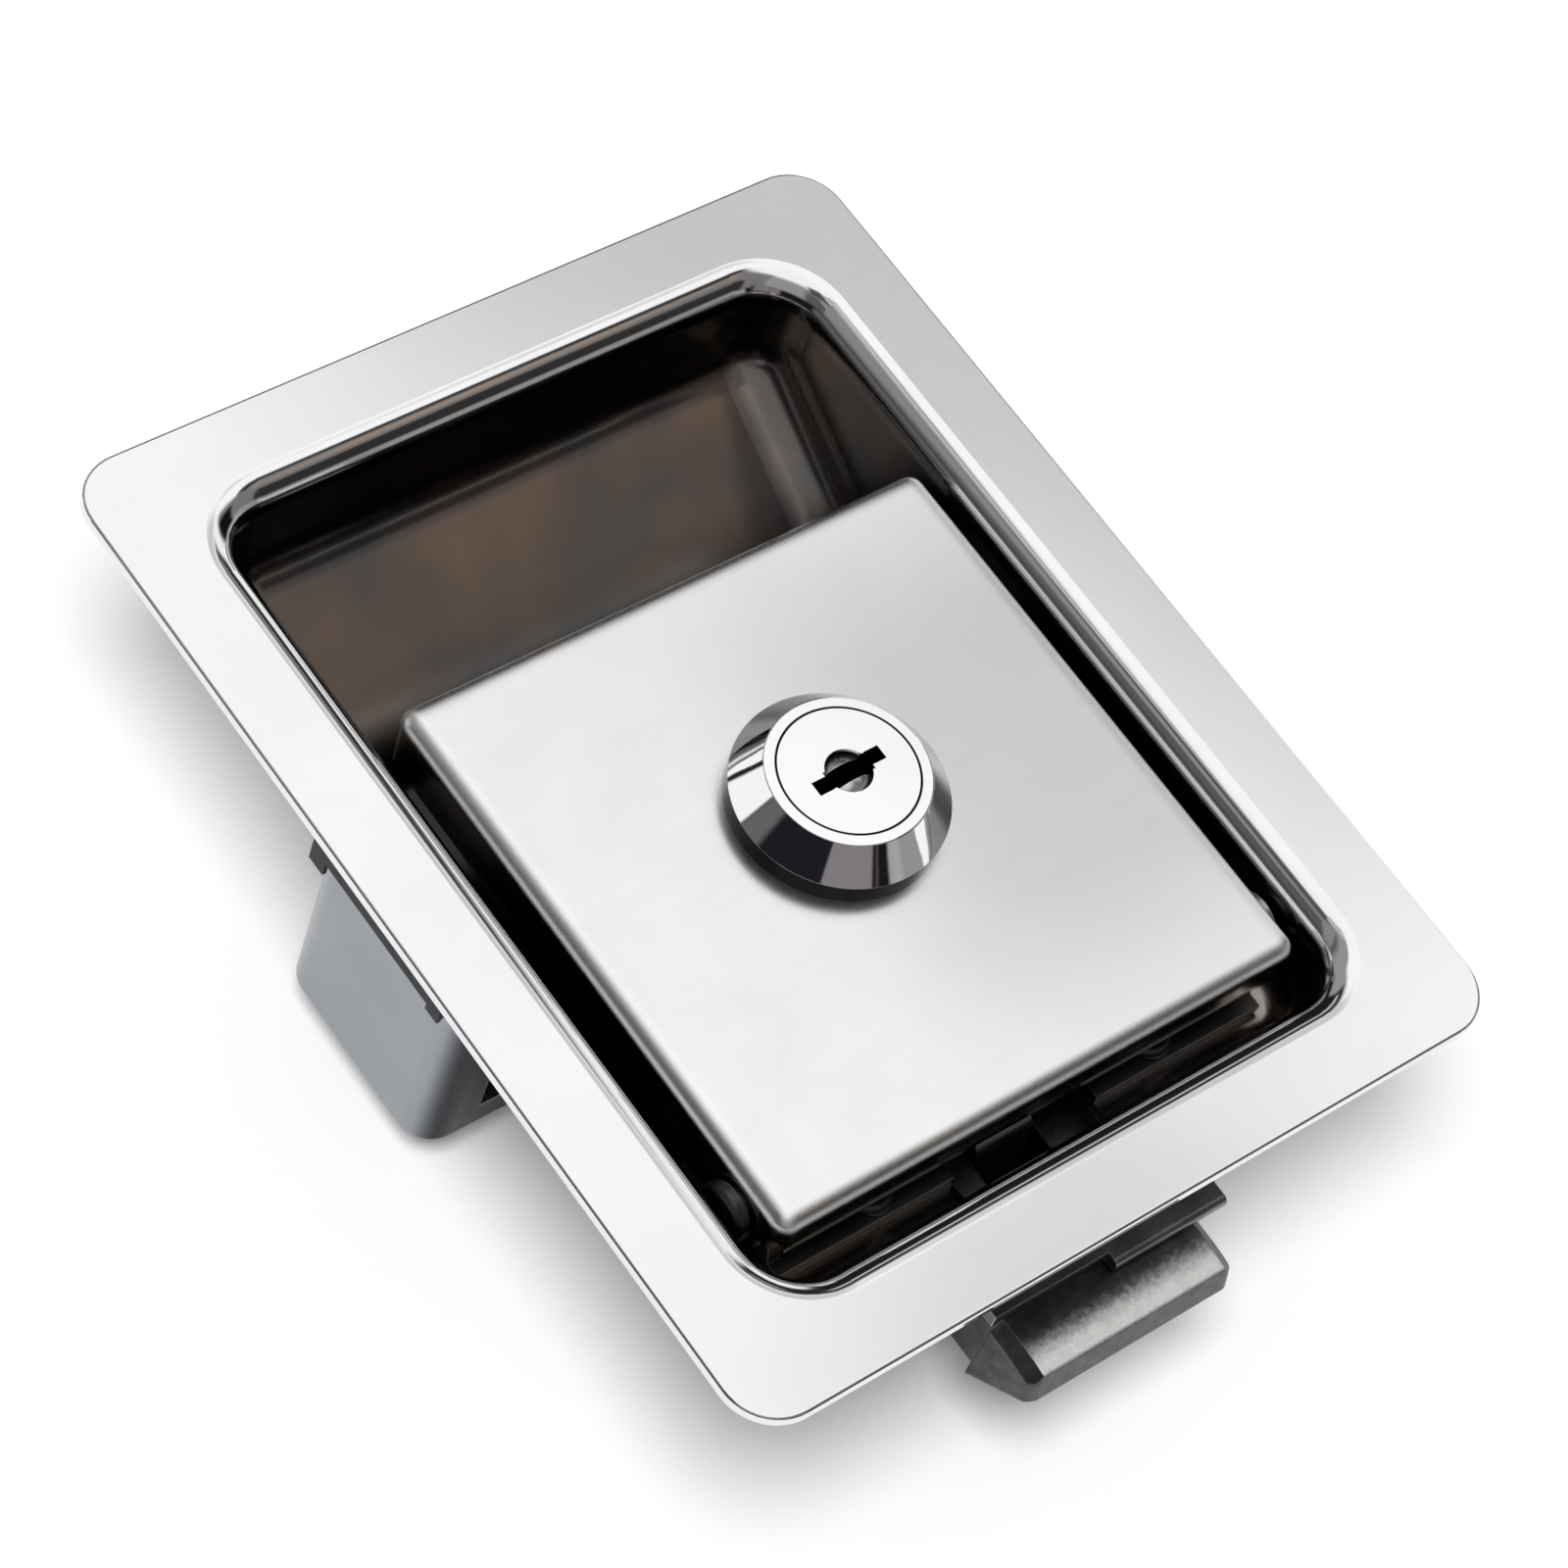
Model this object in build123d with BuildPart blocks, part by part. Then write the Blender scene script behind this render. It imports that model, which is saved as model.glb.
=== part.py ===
"""Recessed paddle latch with a key lock, for the doors of tool boxes and trailers.

A stamped stainless dish drops into a cut-out in the door.  Lifting the finger end of the
paddle swings it about a pin near the other end; a tongue below the pin then draws back a
sprung slam bolt.  A yoke behind the dish clamps the door panel against the flange.

Frame, in millimetres: the origin is the centre of the gasket's rear face, which seats on
the door.  +Z points out of the door, +Y towards the finger pocket, -Y along the bolt.
Heights are given as depths below the front face of the flange.
"""
import os

from build123d import *

os.makedirs("parts", exist_ok=True)

# ---------------------------------------------------------------- driving dimensions
flange_width = 95.25            # 3-3/4 in, along X
flange_length = 120.65          # 4-3/4 in, along Y
flange_corner = 6.0
sheet = 1.2                     # stainless sheet of the dish and paddle
gasket_thickness = 1.0
gasket_inset = 3.0
edge_break = 0.4

dish_half_width = 36.0          # inner faces of the side walls
dish_half_length = 49.0
dish_corner = 6.0
rim_roll = 3.5                  # outer radius of the roll from flange into wall

well_depth = 25.0               # flat floor under the lock
well_bend = 6.0
scoop_depth = 12.5              # where the finger scoop meets the far wall
scoop_foot_y = 24.0             # where the scoop meets the flat floor
step_y = -24.0                  # wall between the well and the hinge shelf
shelf_depth = 11.0
shelf_bend = 4.0

hinge_y = -38.0
hinge_depth = 5.0
hinge_pin_radius = 2.0
running_gap = 0.06

paddle_half_width = 33.0
paddle_near_y = -44.5
paddle_far_y = 21.5
paddle_proud = 0.3              # top of the paddle above the flange
paddle_bend = 1.8
paddle_skirt = 7.0              # depth of the folded edges
paddle_near_skirt = 4.8
paddle_ear_radius = 4.3
fold_relief = 1.3

lock_y = -8.1
bezel_face_height = 6.3         # above the flange
bezel_face_radius = 8.64
bezel_radius = 11.44
bezel_rim_height = 2.7
barrel_radius = 9.4
barrel_flats = 16.0
barrel_depth = 15.0
plug_radius = 7.4
plug_depth = 15.3
keyway_length = 8.65
keyway_width = 2.0              # middle of the slot
keyway_middle = 5.2
keyway_end_width = 1.6          # the two ends, each set to one side
keyway_end_shift = 0.25
shutter_radius = 2.5
cam_thickness = 2.2
cam_reach = 15.0
cam_width = 11.0

bolt_half_width = 13.25
bolt_shank_half_width = 11.8
bolt_front_depth = 14.3
bolt_back_depth = 25.0
bolt_nose_y = -66.0
bolt_nose_depth = 18.1
bolt_crown_y = -61.0            # from here the front face curves down to its crease
bolt_crease_y = -65.2
bolt_crown_drop = 0.4
bolt_chamfer = 1.4
bolt_nose_corner = 1.3
bolt_shoulder_y = -58.3
bolt_bevel_y = -58.0
bolt_tail_y = -36.0
bolt_travel = 8.0
slide_gap = 0.3

plate_thickness = 1.8           # guide plate over the bolt
housing_wall = 1.5
housing_near_y = -49.0
housing_far_y = -25.4
housing_ear_half_width = 22.0
slot_half_width = 9.2           # opening for the tongue
slot_near_y = -47.0
slot_far_y = -32.0

tongue_half_width = 3.6
tongue_thickness = 2.0

yoke_half_width = 44.5
yoke_near_y = -9.0
yoke_far_y = 16.0
yoke_wall = 1.5
yoke_corner = 3.8
yoke_depth = 31.5
yoke_edge_depth = 8.2           # free edge of the legs, below the pads
foot_depth = 6.0                # what bears on the back of the door
clamp_screw_x = 22.0

# ---------------------------------------------------------------- values worked out
face = gasket_thickness + sheet         # height of the flange's front face
shelf_sheet_depth = shelf_depth + sheet
guide_depth = shelf_sheet_depth + plate_thickness
housing_floor_depth = bolt_back_depth + slide_gap
housing_half_width = bolt_shank_half_width + slide_gap
bolt_mid_depth = (bolt_front_depth + bolt_back_depth) / 2
paddle_inner_depth = sheet - paddle_proud
yoke_mid_y = (yoke_near_y + yoke_far_y) / 2
well_sheet_depth = well_depth + sheet


def level(depth):
    """Height in the part's frame of a depth below the flange's front face."""
    return face - depth


def save(piece, name):
    """Label a finished piece and write it as a STEP file of the same name."""
    piece.label = name
    export_step(piece, f"parts/{name}.step")


def block(x_from, x_to, y_from, y_to, depth_top, depth_bottom, mode=Mode.ADD):
    """A plain block given by its limits, joined to or cut from the piece being built."""
    middle = ((x_from + x_to) / 2, (y_from + y_to) / 2, level((depth_top + depth_bottom) / 2))
    with Locations(middle):
        Box(abs(x_to - x_from), y_to - y_from, depth_bottom - depth_top, mode=mode)


# ---------------------------------------------------------------- dish
def well_solid(wall):
    """Deep end of the dish: flat floor, then the scoop that rises to the far wall."""
    top = level(wall)
    with BuildPart() as solid:
        with BuildSketch(Plane.YZ):
            with BuildLine():
                Polyline(
                    (step_y, top),
                    (step_y, level(well_depth)),
                    (scoop_foot_y, level(well_depth)),
                    (dish_half_length, level(scoop_depth)),
                    (dish_half_length, top),
                    close=True,
                )
            make_face()
            if wall > 0:
                offset(amount=wall, kind=Kind.INTERSECTION)
        extrude(amount=dish_half_width + wall, both=True)
        lid = solid.faces().sort_by(Axis.Z)[-1]
        rounded = [edge for edge in solid.edges() if edge.center().Z < lid.center().Z - edge_break]
        fillet(rounded, radius=well_bend + wall)
    return solid.part


def shelf_solid(wall):
    """Shallow end of the dish, under the hinge; its far end runs on into the well."""
    overlap_y = step_y + 2 * well_bend + 2 * sheet
    near_y = -dish_half_length - wall
    with BuildPart() as solid:
        with BuildSketch(Plane.XY.offset(face)):
            with Locations((0, (near_y + overlap_y) / 2)):
                Rectangle(2 * (dish_half_width + wall), overlap_y - near_y)
        extrude(amount=-(shelf_depth + wall))
        near_corners = solid.edges().filter_by(Axis.Z).group_by(Axis.Y)[0]
        fillet(near_corners, radius=dish_corner + wall)
        floor = solid.faces().sort_by(Axis.Z)[0]
        bends = [edge for edge in floor.edges() if edge.center().Y < overlap_y - edge_break]
        fillet(bends, radius=shelf_bend + wall)
    return solid.part


rivet_x = 18.0
rivet_y_pitch = 9.0
rivet_middle_y = -37.5
rivet_radius = 1.6

with BuildPart() as dish:
    with BuildSketch(Plane.XY.offset(gasket_thickness)):
        RectangleRounded(flange_width, flange_length, flange_corner)
    extrude(amount=sheet)
    add(well_solid(sheet))
    add(shelf_solid(sheet))
    add(well_solid(0), mode=Mode.SUBTRACT)
    add(shelf_solid(0), mode=Mode.SUBTRACT)
    back_face = dish.faces().filter_by(Plane.XY).group_by(Axis.Z)[-2].sort_by(SortBy.AREA)[-1]
    fillet(back_face.inner_wires().edges(), radius=rim_roll - sheet)
    front_face = dish.faces().filter_by(Plane.XY).sort_by(Axis.Z)[-1]
    fillet(front_face.inner_wires().edges(), radius=rim_roll)
    front_face = dish.faces().filter_by(Plane.XY).sort_by(Axis.Z)[-1]
    fillet(front_face.outer_wire().edges(), radius=edge_break)
    # tongue slot and rivet holes through the shelf
    with BuildSketch(Plane.XY.offset(level(shelf_depth - shelf_bend))):
        with Locations((0, (slot_near_y + slot_far_y) / 2)):
            Rectangle(2 * slot_half_width, slot_far_y - slot_near_y)
        with Locations((0, rivet_middle_y)):
            with GridLocations(2 * rivet_x, rivet_y_pitch, 2, 2):
                Circle(rivet_radius)
    extrude(amount=-(shelf_bend + sheet + edge_break), mode=Mode.SUBTRACT)
save(dish.part, "dish")

# ---------------------------------------------------------------- gasket under the flange
gasket_bore_x = dish_half_width + rim_roll + edge_break
gasket_bore_y = dish_half_length + rim_roll + edge_break
with BuildPart() as flange_gasket:
    with BuildSketch():
        RectangleRounded(flange_width - 2 * gasket_inset, flange_length - 2 * gasket_inset,
                         flange_corner - gasket_inset / 2)
        RectangleRounded(2 * gasket_bore_x, 2 * gasket_bore_y, dish_corner + rim_roll,
                         mode=Mode.SUBTRACT)
    extrude(amount=gasket_thickness)
save(flange_gasket.part, "flange_gasket")

# ---------------------------------------------------------------- hinge bracket, pin, clip
bracket_ear_outer_x = 31.2
bracket_wall = 1.5
bracket_base = 1.2
bracket_near_y = -44.8
bracket_far_y = -29.5
bracket_ear_radius = 3.5
bracket_foot_half_length = 5.6          # the ears widen towards the base
base_depth = shelf_depth - bracket_base

with BuildPart() as hinge_bracket:
    with BuildSketch(Plane.XY.offset(level(shelf_depth))):
        with Locations((0, (bracket_near_y + bracket_far_y) / 2)):
            Rectangle(2 * bracket_ear_outer_x, bracket_far_y - bracket_near_y)
        with Locations((0, (bracket_near_y + slot_far_y) / 2)):
            Rectangle(2 * slot_half_width, slot_far_y - bracket_near_y, mode=Mode.SUBTRACT)
        with Locations((0, rivet_middle_y)):
            with GridLocations(2 * rivet_x, rivet_y_pitch, 2, 2):
                Circle(rivet_radius, mode=Mode.SUBTRACT)
    extrude(amount=bracket_base)
    for side in (-1, 1):
        with BuildSketch(Plane.YZ.offset(side * bracket_ear_outer_x)):
            with BuildLine():
                foot = level(shelf_depth)
                Polyline((hinge_y - bracket_ear_radius, level(hinge_depth)),
                         (hinge_y - bracket_foot_half_length, foot),
                         (hinge_y + bracket_foot_half_length, foot),
                         (hinge_y + bracket_ear_radius, level(hinge_depth)))
                ThreePointArc((hinge_y + bracket_ear_radius, level(hinge_depth)),
                              (hinge_y, level(hinge_depth - bracket_ear_radius)),
                              (hinge_y - bracket_ear_radius, level(hinge_depth)))
            make_face()
            with Locations((hinge_y, level(hinge_depth))):
                Circle(hinge_pin_radius, mode=Mode.SUBTRACT)
        extrude(amount=-side * bracket_wall)
    outer_bends = hinge_bracket.edges().filter_by(Axis.Y).filter_by_position(
        Axis.Z, level(shelf_depth) - edge_break, level(shelf_depth) + edge_break)
    fillet(outer_bends.group_by(Axis.X)[0] + outer_bends.group_by(Axis.X)[-1], radius=2 * edge_break)
save(hinge_bracket.part, "hinge_bracket")

pin_head_radius = 3.2
pin_head_height = 1.5
pin_gap = 0.4
pin_head_x = paddle_half_width + pin_gap
pin_tip_x = 35.2
clip_thickness = 0.8
clip_groove_radius = 1.5

with BuildPart() as hinge_pin:
    with BuildSketch(Plane.YZ.offset(-pin_head_x)):
        with Locations((hinge_y, level(hinge_depth))):
            Circle(hinge_pin_radius)
    extrude(amount=pin_head_x + pin_tip_x)
    with BuildSketch(Plane.YZ.offset(-pin_head_x)):
        with Locations((hinge_y, level(hinge_depth))):
            Circle(pin_head_radius)
    extrude(amount=-pin_head_height)
    fillet(hinge_pin.faces().sort_by(Axis.X)[0].edges(), radius=2 * edge_break)
    with BuildSketch(Plane.YZ.offset(pin_head_x)):
        with Locations((hinge_y, level(hinge_depth))):
            Circle(hinge_pin_radius)
            Circle(clip_groove_radius, mode=Mode.SUBTRACT)
    extrude(amount=clip_thickness, mode=Mode.SUBTRACT)
    chamfer(hinge_pin.faces().sort_by(Axis.X)[-1].edges(), length=edge_break)
save(hinge_pin.part, "hinge_pin")

with BuildPart() as pin_clip:
    with BuildSketch(Plane.YZ.offset(pin_head_x)):
        with Locations((hinge_y, level(hinge_depth))):
            Circle(pin_head_radius)
            Circle(clip_groove_radius, mode=Mode.SUBTRACT)
        with Locations((hinge_y - pin_head_radius, level(hinge_depth))):
            Rectangle(2 * pin_head_radius, 2 * clip_groove_radius, mode=Mode.SUBTRACT)
    extrude(amount=clip_thickness)
save(pin_clip.part, "pin_clip")

# ---------------------------------------------------------------- torsion spring on the pin
torsion_wire = 0.5
torsion_coil_radius = hinge_pin_radius + torsion_wire + slide_gap
torsion_near_x = 13.0
torsion_turns = 5.5
torsion_pitch = 1.15                    # close wound
torsion_length = torsion_turns * torsion_pitch
torsion_leg = 8.0
torsion_axis = (torsion_near_x, hinge_y, level(hinge_depth))

with BuildPart() as paddle_spring:
    with BuildLine() as wire_path:
        coil = Helix(pitch=torsion_pitch, height=torsion_length,
                     radius=torsion_coil_radius, center=torsion_axis, direction=(1, 0, 0))
        Line(coil @ 0 - (coil % 0) * torsion_leg, coil @ 0)
        Line(coil @ 1, coil @ 1 + (coil % 1) * torsion_leg)
    path = wire_path.wires()[0]
    with BuildSketch(Plane(origin=path @ 0, z_dir=path % 0)):
        Circle(torsion_wire)
    sweep(path=path, is_frenet=True)
save(paddle_spring.part, "paddle_spring")

# ---------------------------------------------------------------- guide plate and bolt housing
guide_tongue_half_width = 15.5
guide_lip_y = -60.0             # half of the front edge, the other half is set back
guide_set_back_y = -58.4
guide_notch_x = 0.9
guide_left_x = -13.6
housing_corner = 3.0

with BuildPart() as guide_plate:
    with BuildSketch(Plane.XY.offset(level(guide_depth))):
        with BuildLine():
            Polyline(
                (-housing_ear_half_width, slot_far_y + housing_corner),
                (-housing_ear_half_width, housing_near_y),
                (guide_left_x, housing_near_y),
                (guide_left_x, guide_set_back_y),
                (guide_notch_x, guide_set_back_y),
                (guide_notch_x, guide_lip_y),
                (guide_tongue_half_width, guide_lip_y),
                (guide_tongue_half_width, housing_near_y),
                (housing_ear_half_width, housing_near_y),
                (housing_ear_half_width, slot_far_y + housing_corner),
                close=True,
            )
        make_face()
        with Locations((0, (slot_near_y + slot_far_y) / 2)):
            Rectangle(2 * slot_half_width, slot_far_y - slot_near_y, mode=Mode.SUBTRACT)
        with Locations((0, rivet_middle_y)):
            with GridLocations(2 * rivet_x, rivet_y_pitch, 2, 2):
                Circle(rivet_radius, mode=Mode.SUBTRACT)
    extrude(amount=plate_thickness)
    lip_face = guide_plate.faces().sort_by(Axis.Y)[0]
    fillet(lip_face.edges().filter_by(Axis.X), radius=plate_thickness / 2 - edge_break / 4)
save(guide_plate.part, "guide_plate")

with BuildPart() as bolt_housing:
    with BuildSketch(Plane.XZ.offset(-housing_far_y)):
        with BuildLine():
            Polyline(
                (-housing_ear_half_width, level(guide_depth)),
                (-housing_half_width, level(guide_depth)),
                (-housing_half_width, level(housing_floor_depth)),
                (housing_half_width, level(housing_floor_depth)),
                (housing_half_width, level(guide_depth)),
                (housing_ear_half_width, level(guide_depth)),
                (housing_ear_half_width, level(guide_depth + housing_wall)),
                (housing_half_width + housing_wall, level(guide_depth + housing_wall)),
                (housing_half_width + housing_wall, level(housing_floor_depth + housing_wall)),
                (-housing_half_width - housing_wall, level(housing_floor_depth + housing_wall)),
                (-housing_half_width - housing_wall, level(guide_depth + housing_wall)),
                (-housing_ear_half_width, level(guide_depth + housing_wall)),
                close=True,
            )
        make_face()
    extrude(amount=housing_far_y - housing_near_y)
    lowest = bolt_housing.faces().sort_by(Axis.Z)[0]
    fillet(lowest.edges().filter_by(Axis.Y), radius=housing_wall)
    ear_corners = bolt_housing.edges().filter_by(Axis.Z).filter_by_position(
        Axis.Z, level(guide_depth + housing_wall), level(guide_depth))
    fillet(ear_corners.group_by(Axis.X)[0] + ear_corners.group_by(Axis.X)[-1],
           radius=housing_corner)
    with BuildSketch(Plane.XY.offset(level(guide_depth))):
        with Locations((0, rivet_middle_y)):
            with GridLocations(2 * rivet_x, rivet_y_pitch, 2, 2):
                Circle(rivet_radius)
    extrude(amount=-housing_wall, mode=Mode.SUBTRACT)
save(bolt_housing.part, "bolt_housing")

rivet_head_radius = 2.6
rivet_head_height = 1.1
rivet_grip = guide_depth + housing_wall - base_depth
with BuildPart() as housing_rivets:
    for depth, radius, height in (
        (base_depth, rivet_head_radius, rivet_head_height),
        (base_depth, rivet_radius, -rivet_grip),
        (guide_depth + housing_wall, rivet_head_radius, -rivet_head_height),
    ):
        with BuildSketch(Plane.XY.offset(level(depth))):
            with Locations((0, rivet_middle_y)):
                with GridLocations(2 * rivet_x, rivet_y_pitch, 2, 2):
                    Circle(radius)
        extrude(amount=height)
    rims = housing_rivets.edges().filter_by(GeomType.CIRCLE).group_by(Axis.Z)
    fillet(rims[0] + rims[-1], radius=rivet_head_height - edge_break / 2)
save(housing_rivets.part, "housing_rivets")

# ---------------------------------------------------------------- slam bolt and its springs
spring_x = 8.1
spring_pocket_radius = 2.9
pocket_end_y = -53.6
end_plate_near_y = -27.0
end_plate_thickness = 1.5
rod_radius = 1.5
rod_clearance = 1.0                     # left ahead of the rods at full travel
rod_tip_y = pocket_end_y + bolt_travel + rod_clearance
tongue_window_half_width = 4.2
tongue_window_near_y = -46.6
tongue_window_far_y = -40.3

with BuildPart() as latch_bolt:
    with BuildSketch(Plane.YZ):
        with BuildLine():
            crease = (bolt_crease_y, level(bolt_front_depth + bolt_crown_drop))
            Polyline(
                crease,
                (bolt_nose_y, level(bolt_nose_depth)),
                (bolt_bevel_y, level(bolt_back_depth)),
                (bolt_tail_y, level(bolt_back_depth)),
                (bolt_tail_y, level(bolt_front_depth)),
                (bolt_crown_y, level(bolt_front_depth)),
            )
            TangentArc((bolt_crown_y, level(bolt_front_depth)), crease, tangent=(-1, 0))
        make_face()
    extrude(amount=bolt_half_width, both=True)
    side_edges = latch_bolt.edges().group_by(Axis.X)
    long_edges = [edge for edge in side_edges[0] + side_edges[-1] if edge.center().Z > crease[1]]
    chamfer(long_edges, length=bolt_chamfer)
    nose = latch_bolt.faces().sort_by(Axis.Y)[0]
    corners = [edge for edge in nose.edges() if abs(edge.center().X) > bolt_half_width - edge_break]
    fillet(corners, radius=bolt_nose_corner)
    for side in (-1, 1):
        block(side * bolt_shank_half_width, side * bolt_half_width, bolt_shoulder_y,
              bolt_tail_y, bolt_front_depth, bolt_back_depth, mode=Mode.SUBTRACT)
    block(-tongue_window_half_width, tongue_window_half_width, tongue_window_near_y,
          tongue_window_far_y, bolt_front_depth, bolt_back_depth, mode=Mode.SUBTRACT)
    with BuildSketch(Plane.XZ.offset(-bolt_tail_y)):
        with Locations((-spring_x, level(bolt_mid_depth)), (spring_x, level(bolt_mid_depth))):
            Circle(spring_pocket_radius)
    extrude(amount=bolt_tail_y - pocket_end_y, mode=Mode.SUBTRACT)
save(latch_bolt.part, "latch_bolt")

with BuildPart() as spring_plate:
    block(-housing_half_width, housing_half_width, end_plate_near_y,
          end_plate_near_y + end_plate_thickness, guide_depth, housing_floor_depth)
    with BuildSketch(Plane.XZ.offset(-end_plate_near_y)):
        with Locations((-spring_x, level(bolt_mid_depth)), (spring_x, level(bolt_mid_depth))):
            Circle(rod_radius)
    extrude(amount=-end_plate_thickness, mode=Mode.SUBTRACT)
save(spring_plate.part, "spring_plate")

with BuildPart() as guide_rods:
    with BuildSketch(Plane.XZ.offset(-rod_tip_y)):
        with Locations((-spring_x, level(bolt_mid_depth)), (spring_x, level(bolt_mid_depth))):
            Circle(rod_radius)
    extrude(amount=rod_tip_y - end_plate_near_y - end_plate_thickness)
    chamfer(guide_rods.edges().filter_by(GeomType.CIRCLE).group_by(Axis.Y)[0], length=edge_break)
save(guide_rods.part, "guide_rods")

bolt_spring_wire = 0.4
bolt_spring_radius = rod_radius + bolt_spring_wire + slide_gap
bolt_spring_turns = 8
bolt_spring_length = end_plate_near_y - pocket_end_y - 2 * bolt_spring_wire

with BuildPart() as bolt_springs:
    for x in (-spring_x, spring_x):
        with BuildLine() as wire_path:
            Helix(pitch=bolt_spring_length / bolt_spring_turns, height=bolt_spring_length,
                  radius=bolt_spring_radius, direction=(0, 1, 0),
                  center=(x, pocket_end_y + bolt_spring_wire, level(bolt_mid_depth)))
        path = wire_path.wires()[0]
        with BuildSketch(Plane(origin=path @ 0, z_dir=path % 0)):
            Circle(bolt_spring_wire)
        sweep(path=path, is_frenet=True)
save(bolt_springs.part, "bolt_springs")

# ---------------------------------------------------------------- clamp yoke behind the dish
yoke_floor_depth = yoke_depth - yoke_wall
yoke_notch_half_width = 37.7
yoke_notch_depth = 27.4
yoke_near_ledge_y = -6.4                # the near corners of the legs reach up to the door
yoke_slot_length = 8.0
yoke_slot_width = 5.5

with BuildPart() as clamp_yoke:
    with BuildSketch(Plane.XY.offset(level(yoke_depth))):
        with Locations((0, yoke_mid_y)):
            Rectangle(2 * yoke_half_width, yoke_far_y - yoke_near_y)
    extrude(amount=yoke_depth - foot_depth)
    fillet(clamp_yoke.edges().filter_by(Axis.Z), radius=yoke_corner)
    fillet(clamp_yoke.faces().sort_by(Axis.Z)[0].edges(), radius=2 * edge_break)
    offset(amount=-yoke_wall, openings=clamp_yoke.faces().sort_by(Axis.Z)[-1])
    # free edges of the legs are lower than the near corners, which bear on the door
    block(-yoke_half_width, yoke_half_width, yoke_near_ledge_y, yoke_far_y,
          foot_depth, yoke_edge_depth, mode=Mode.SUBTRACT)
    # the long walls are cut away round the dish
    with BuildSketch(Plane.XZ.offset(-yoke_far_y)):
        with BuildLine():
            Polyline(
                (-yoke_notch_half_width, level(foot_depth)),
                (-yoke_notch_half_width, level(yoke_notch_depth)),
                (yoke_notch_half_width, level(yoke_notch_depth)),
                (yoke_notch_half_width, level(foot_depth)),
                close=True,
            )
        make_face()
    extrude(amount=yoke_far_y - yoke_near_y, mode=Mode.SUBTRACT)
    with BuildSketch(Plane.XY.offset(level(yoke_floor_depth))):
        with Locations((-clamp_screw_x, yoke_mid_y), (clamp_screw_x, yoke_mid_y)):
            SlotOverall(yoke_slot_length, yoke_slot_width)
    extrude(amount=-yoke_wall, mode=Mode.SUBTRACT)
save(clamp_yoke.part, "clamp_yoke")

pad_wall = 0.5
pad_near_y = yoke_near_ledge_y + edge_break / 2
pad_near_grip = (2.0, 0.8)              # length and depth of the near tooth outside the leg
pad_far_grip = (2.4, 2.0)
with BuildPart() as yoke_pads:
    for side in (-1, 1):
        outer = side * (yoke_half_width + pad_wall)
        inner = side * (yoke_half_width - yoke_wall - pad_wall)
        block(inner, outer, pad_near_y, yoke_far_y, foot_depth, yoke_edge_depth)
        for y, (length, reach) in ((pad_near_y, pad_near_grip),
                                   (yoke_far_y - pad_far_grip[0], pad_far_grip)):
            block(side * yoke_half_width, outer, y, y + length,
                  yoke_edge_depth, yoke_edge_depth + reach)
save(yoke_pads.part, "yoke_pads")

weld_nut_height = 3.0
weld_nut_flats = 8.0
clamp_thread_radius = 2.5
washer_thickness = 1.0
screw_head_radius = 4.6
screw_head_height = 2.8
screw_head_rounding = 1.4
screw_socket_flats = 3.0
screw_socket_depth = 2.0

clamp_spots = ((-clamp_screw_x, yoke_mid_y), (clamp_screw_x, yoke_mid_y))
with BuildPart() as weld_nuts:
    with BuildSketch(Plane.XY.offset(level(well_sheet_depth))):
        with Locations(*clamp_spots):
            RegularPolygon(weld_nut_flats / 2, 6, major_radius=False)
            Circle(clamp_thread_radius, mode=Mode.SUBTRACT)
    extrude(amount=-weld_nut_height)
save(weld_nuts.part, "weld_nuts")

with BuildPart() as clamp_washers:
    with BuildSketch(Plane.XY.offset(level(yoke_depth))):
        with Locations(*clamp_spots):
            Circle(2 * clamp_thread_radius)
            Circle(clamp_thread_radius + slide_gap / 2, mode=Mode.SUBTRACT)
    extrude(amount=-washer_thickness)
save(clamp_washers.part, "clamp_washers")

with BuildPart() as clamp_screws:
    with BuildSketch(Plane.XY.offset(level(yoke_depth + washer_thickness))):
        with Locations(*clamp_spots):
            Circle(screw_head_radius)
    extrude(amount=-screw_head_height)
    fillet(clamp_screws.edges().filter_by(GeomType.CIRCLE).group_by(Axis.Z)[0],
           radius=screw_head_rounding)
    with BuildSketch(Plane.XY.offset(level(yoke_depth + washer_thickness))):
        with Locations(*clamp_spots):
            Circle(clamp_thread_radius)
    extrude(amount=yoke_depth + washer_thickness - well_sheet_depth - edge_break / 2)
    with BuildSketch(Plane.XY.offset(level(yoke_depth + washer_thickness + screw_head_height))):
        with Locations(*clamp_spots):
            RegularPolygon(screw_socket_flats / 2, 6, major_radius=False)
    extrude(amount=screw_socket_depth, mode=Mode.SUBTRACT)
save(clamp_screws.part, "clamp_screws")

# ---------------------------------------------------------------- keeper for the lock cam
keeper_half_width = 6.0
keeper_wall = 1.4
keeper_top_depth = 11.8
keeper_lip_depth = 14.0
keeper_lip_y = -19.2
with BuildPart() as lock_keeper:
    with BuildSketch(Plane.YZ):
        with BuildLine():
            Polyline(
                (step_y, level(keeper_top_depth)),
                (step_y, level(keeper_lip_depth)),
                (keeper_lip_y, level(keeper_lip_depth)),
                (keeper_lip_y, level(keeper_lip_depth - keeper_wall)),
                (step_y + keeper_wall, level(keeper_lip_depth - keeper_wall)),
                (step_y + keeper_wall, level(keeper_top_depth)),
                close=True,
            )
        make_face()
    extrude(amount=keeper_half_width, both=True)
    lip = lock_keeper.faces().sort_by(Axis.Y)[-1]
    fillet(lip.edges().filter_by(Axis.Z), radius=keeper_wall)
save(lock_keeper.part, "lock_keeper")

# ---------------------------------------------------------------- paddle and its tongue
paddle_skirt_bottom = hinge_depth + paddle_ear_radius


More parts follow.
